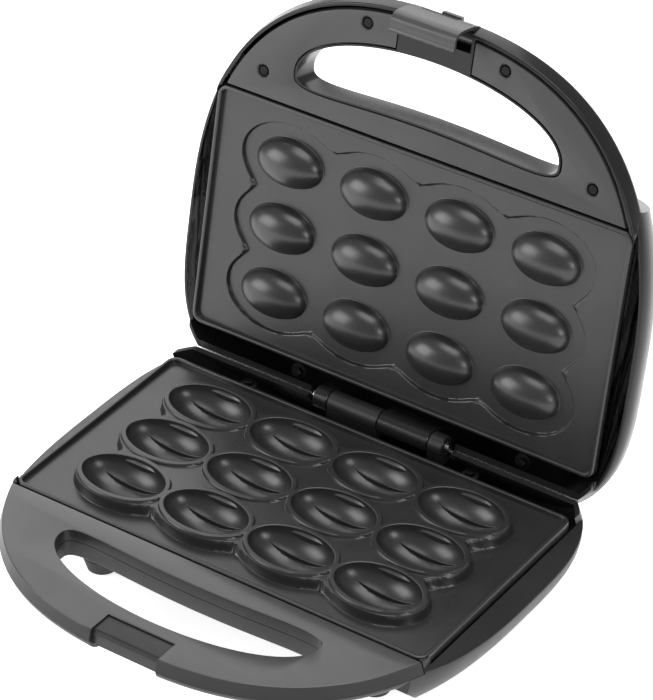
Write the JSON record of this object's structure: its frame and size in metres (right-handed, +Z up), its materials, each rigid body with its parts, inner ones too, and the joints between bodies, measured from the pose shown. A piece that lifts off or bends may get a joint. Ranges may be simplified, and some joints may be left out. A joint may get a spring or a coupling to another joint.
{
  "type": "walnut cookie maker",
  "caption": "Hinged electric cookie iron, open: rows of walnut-shaped cups below, matching bumps in the lid, looped handles and a front latch.",
  "frame": {"origin": "centre of the bounding box on the table top, under the open appliance", "axes": "+Z up, +X along the hinge to the right, the handles point to -Y and the lid stands at +Y"},
  "size_m": [0.236, 0.2544, 0.2337],
  "materials": {
    "base_plastic": "satin moulded black",
    "cover_plastic": "fine matt dark grey",
    "lid_plastic": "black, soft gloss",
    "nonstick_coating": "dark non-stick coating, satin",
    "bright_steel": "plain",
    "dark_steel": "blackened",
    "aluminised_sheet": "bright rolled sheet",
    "heater_sheath": "heat-tinted",
    "rubber": "matt",
    "ceramic": "unglazed",
    "red_lens": "clear red",
    "green_lens": "clear green",
    "circuit_board": "plain"
  },
  "bodies": {
    "base": {"lower_housing": "base_plastic", "lower_handle_cover": "cover_plastic", "lower_plate": "nonstick_coating", "lower_reflector": "aluminised_sheet", "lower_heater": "heater_sheath", "thermal_fuse": "heater_sheath", "terminal_block": "ceramic", "cord_bush": "rubber", "hinge_pin": "bright_steel", "hinge_clip": "bright_steel", "foot_1": "rubber", "foot_2": "rubber", "foot_3": "rubber", "foot_4": "rubber", "lower_cover_screw_1": "dark_steel", "lower_cover_screw_2": "dark_steel", "lower_cover_screw_3": "dark_steel", "lower_cover_screw_4": "dark_steel", "lower_plate_screw_1": "dark_steel", "lower_plate_screw_2": "dark_steel"},
    "lid": {"upper_housing": "lid_plastic", "upper_handle_cover": "cover_plastic", "upper_plate": "nonstick_coating", "upper_reflector": "aluminised_sheet", "upper_heater": "heater_sheath", "thermostat": "ceramic", "lamp_board": "circuit_board", "power_lens": "red_lens", "ready_lens": "green_lens", "latch_pin": "bright_steel", "upper_cover_screw_1": "dark_steel", "upper_cover_screw_2": "dark_steel", "upper_cover_screw_3": "dark_steel", "upper_cover_screw_4": "dark_steel", "upper_plate_screw_1": "dark_steel", "upper_plate_screw_2": "dark_steel"},
    "latch": {"latch": "lid_plastic"}
  },
  "joints": [
    {"name": "lid_hinge", "type": "hinge", "parent": "base", "child": "lid", "pos_m": [0, 0.06468, 0.0423], "axis": [1, 0, 0], "range_deg": [0, 102]},
    {"name": "latch_pivot", "type": "hinge", "parent": "lid", "child": "latch", "pos_m": [0, 0.10932, 0.22348], "axis": [1, 0, 0], "range_deg": [-25, 8]}
  ]
}
